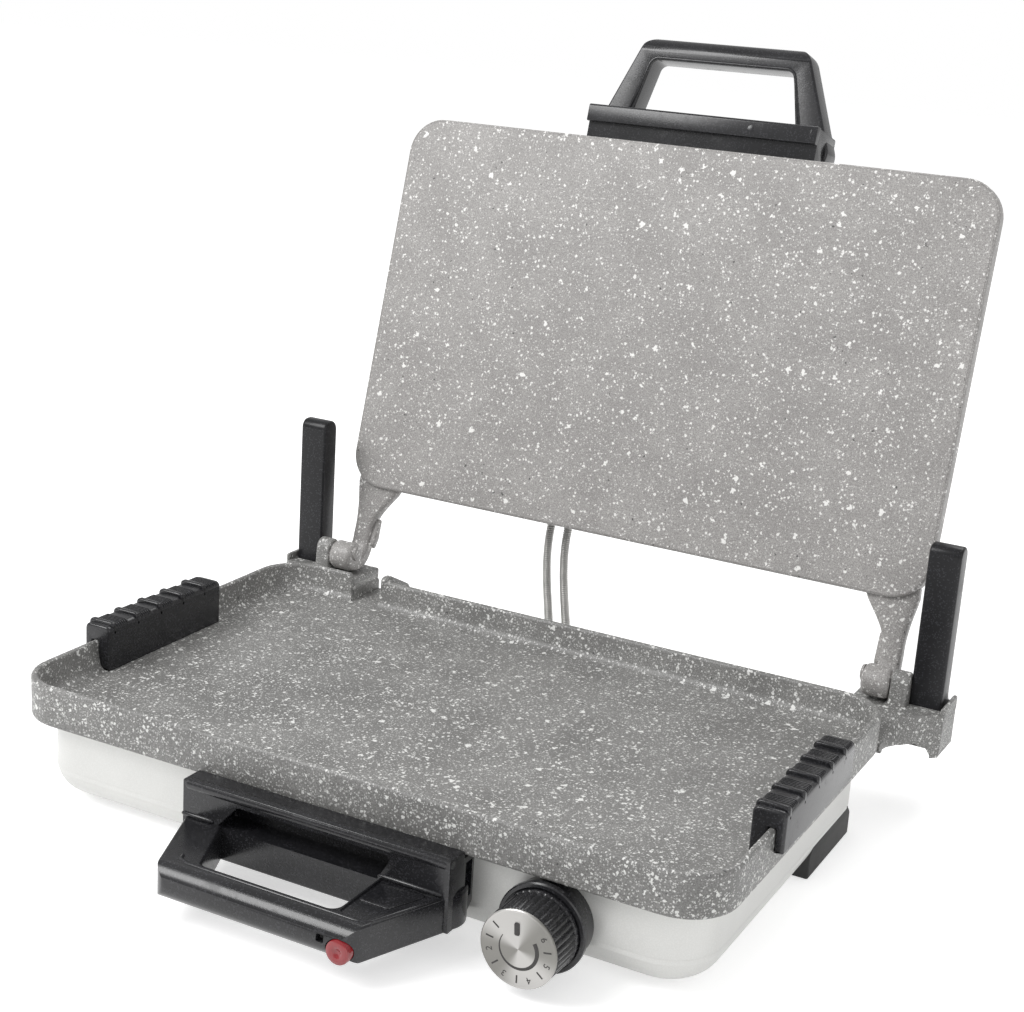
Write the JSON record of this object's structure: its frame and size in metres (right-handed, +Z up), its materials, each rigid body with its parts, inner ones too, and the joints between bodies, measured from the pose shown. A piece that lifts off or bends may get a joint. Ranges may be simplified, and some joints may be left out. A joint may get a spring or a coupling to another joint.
{
  "type": "electric pizza maker",
  "caption": "Countertop cooker with a rectangular griddle tray on a heated housing, a heated lid hinged behind it on two arms, loop handles, a dial knob and twin flexible conduits.",
  "frame": {"origin": "middle of the standing object's bounding box in plan, at the table under the feet", "axes": "+X to the user's right, +Y towards the hinge at the rear, +Z up"},
  "size_m": [0.442, 0.504, 0.4012],
  "materials": {
    "tray_coating": "stone-speckled non-stick coating",
    "lid_coating": "pale stone-speckled non-stick coating",
    "silver_sheet": "satin silver",
    "black_moulding": "semi-gloss",
    "black_rubber": "matt",
    "zinc_steel": "zinc plated",
    "conduit_steel": "closely wound, dull",
    "bright_steel": "bright",
    "ceramic": "unglazed ceramic",
    "brass": "satin",
    "lead_sleeve": "woven sleeve, matt",
    "red_lens": "translucent",
    "brushed_disc": "spun"
  },
  "bodies": {
    "base": {"housing_pan": "silver_sheet", "griddle_tray": "tray_coating", "tray_screws": "zinc_steel", "lower_element": "bright_steel", "lower_element_clamps": "zinc_steel", "lower_clamp_screws": "zinc_steel", "lower_heat_shield": "bright_steel", "thermostat": "ceramic", "thermostat_nut": "brass", "knob_bezel": "black_moulding", "base_handle": "black_moulding", "base_wire_cover": "black_moulding", "base_handle_screws": "zinc_steel", "indicator_lens": "red_lens", "lamp_holder": "ceramic", "side_grip_left": "black_moulding", "side_grip_right": "black_moulding", "rear_post_left": "black_moulding", "rear_post_right": "black_moulding", "post_screws": "zinc_steel", "hinge_pins": "bright_steel", "front_feet": "black_rubber", "rear_foot_left": "black_rubber", "rear_foot_right": "black_rubber", "feet_screws": "zinc_steel", "mains_gland": "black_rubber", "terminal_block": "ceramic", "terminal_screws": "brass", "lead_mains": "lead_sleeve", "lead_thermostat": "lead_sleeve", "base_ferrules": "zinc_steel", "conduit_left": "conduit_steel", "conduit_right": "conduit_steel"},
    "lid": {"lid_plate": "lid_coating", "lid_cover": "silver_sheet", "cover_screws": "zinc_steel", "upper_element": "bright_steel", "upper_element_clamps": "zinc_steel", "upper_clamp_screws": "zinc_steel", "upper_heat_shield": "bright_steel", "lid_handle": "black_moulding", "lid_handle_screws": "zinc_steel", "lid_ferrules": "zinc_steel"},
    "knob": {"thermostat_shaft": "bright_steel", "knob_skirt": "black_moulding", "knob_disc": "brushed_disc"}
  },
  "joints": [
    {"name": "lid_hinge", "type": "hinge", "parent": "base", "child": "lid", "pos_m": [0, 0.10427, 0.06825], "axis": [1, 0, 0], "range_deg": [0, 105], "deforming": ["conduit_left", "conduit_right"]},
    {"name": "thermostat_knob", "type": "hinge", "parent": "base", "child": "knob", "pos_m": [0.118, -0.19953, 0.0254], "axis": [0, 1, 0], "range_deg": [0, 270]}
  ]
}
